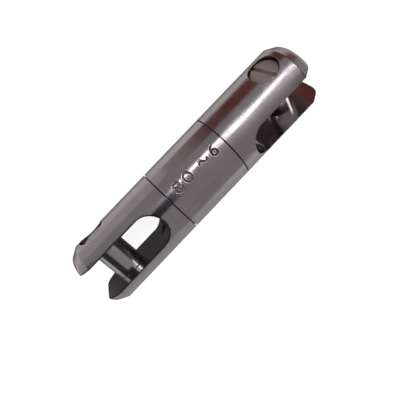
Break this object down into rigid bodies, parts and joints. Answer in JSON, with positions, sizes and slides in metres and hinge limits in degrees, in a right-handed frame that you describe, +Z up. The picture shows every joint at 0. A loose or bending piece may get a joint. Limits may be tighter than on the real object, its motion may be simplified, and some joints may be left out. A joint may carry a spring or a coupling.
{
  "type": "anchor chain swivel connector",
  "caption": "Swivelling chain connector for an anchor line: a cylindrical barrel with a slotted jaw turning at either end, each jaw closed by a slotted screw bolt.",
  "frame": {"origin": "middle of the barrel on the long axis", "axes": "+X along the long axis towards jaw B, +Y along jaw A's bolt towards its slotted end, +Z up through jaw A's slot"},
  "size_m": [0.077, 0.019, 0.019],
  "materials": {
    "body_steel": "polished stainless steel with fine turning and buffing lines",
    "screw_steel": "turned stainless steel",
    "bronze": "plain bearing bronze",
    "acetal": "black acetal"
  },
  "bodies": {
    "barrel": {"swivel_barrel": "body_steel", "thrust_washer_a": "acetal", "thrust_washer_b": "acetal", "swivel_screw_a": "screw_steel", "swivel_screw_b": "screw_steel", "head_washer_a": "screw_steel", "head_washer_b": "screw_steel", "lock_pin_a": "screw_steel", "lock_pin_b": "screw_steel"},
    "jaw_a": {"jaw_a": "body_steel", "bearing_bush_a": "bronze"},
    "jaw_b": {"jaw_b": "body_steel", "bearing_bush_b": "bronze"},
    "bolt_a": {"jaw_bolt_a": "screw_steel"},
    "bolt_b": {"jaw_bolt_b": "screw_steel"}
  },
  "joints": [
    {"name": "jaw_a_swivel", "type": "hinge", "parent": "barrel", "child": "jaw_a", "pos_m": [-0.0111, 0, 0], "axis": [1, 0, 0], "continuous": true},
    {"name": "jaw_b_swivel", "type": "hinge", "parent": "barrel", "child": "jaw_b", "pos_m": [0.0111, 0, 0], "axis": [1, 0, 0], "continuous": true},
    {"name": "bolt_a_out", "type": "slide", "parent": "jaw_a", "child": "bolt_a", "axis": [0, 1, 0], "range_m": [0, 0.02]},
    {"name": "bolt_b_out", "type": "slide", "parent": "jaw_b", "child": "bolt_b", "axis": [0, 0.8151, 0.5793], "range_m": [0, 0.02]}
  ]
}
